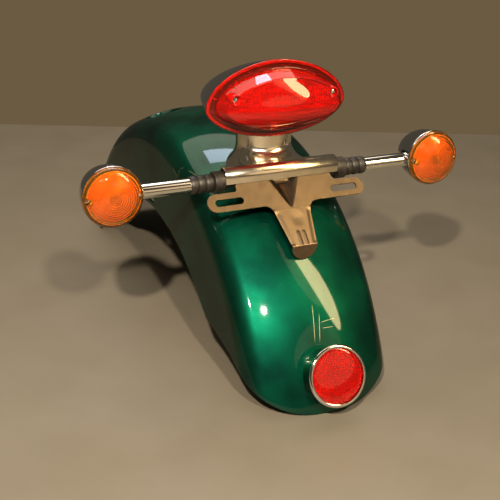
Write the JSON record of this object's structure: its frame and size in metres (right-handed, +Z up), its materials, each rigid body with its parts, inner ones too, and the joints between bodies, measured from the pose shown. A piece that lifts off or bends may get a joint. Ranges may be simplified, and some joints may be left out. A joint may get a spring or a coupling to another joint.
{
  "type": "motorcycle rear fender",
  "caption": "Motorcycle rear fender in dark green metallic paint with tail lamp, turn signals on rubber stems, plate bracket and round reflector.",
  "frame": {"origin": "centre of the bounding box on the surface that the fender lies on", "axes": "+X to the rider's right, +Y towards the fender's front edge, +Z up"},
  "size_m": [0.4766, 0.682, 0.3621],
  "materials": {
    "paint": "gloss, dark green metallic",
    "casting": "polished",
    "rubber": "matte black",
    "zinc": "zinc plated",
    "stainless": "pressed stainless, satin",
    "chrome": "mirror",
    "red_lens": "clear red",
    "amber_lens": "clear amber",
    "bulb_glass": "clear",
    "holder": "moulded"
  },
  "bodies": {
    "root": {"fender": "paint", "pedestal": "casting", "pedestal_gasket": "rubber", "pedestal_bolts": "zinc", "pedestal_washers": "zinc", "plate_bracket": "stainless", "bracket_bolts": "zinc", "tail_housing": "chrome", "housing_screws": "zinc", "tail_bulb_holder": "holder", "tail_bulb": "bulb_glass", "tail_lens_gasket": "rubber", "tail_lens": "red_lens", "tail_lens_screws": "chrome", "signal_lens_screws": "chrome", "stem_studs": "zinc", "stem_washers": "zinc", "stem_nuts": "zinc", "reflex_cup": "chrome", "reflex_lens": "red_lens", "reflex_washer": "zinc", "reflex_nut": "zinc", "signal_body_left": "chrome", "signal_holder_left": "zinc", "signal_bulb_left": "bulb_glass", "signal_gasket_left": "rubber", "signal_lens_left": "amber_lens", "stem_tube_left": "chrome", "stem_boot_left": "rubber", "signal_body_right": "chrome", "signal_holder_right": "zinc", "signal_bulb_right": "bulb_glass", "signal_gasket_right": "rubber", "signal_lens_right": "amber_lens", "stem_tube_right": "chrome", "stem_boot_right": "rubber"}
  },
  "joints": []
}
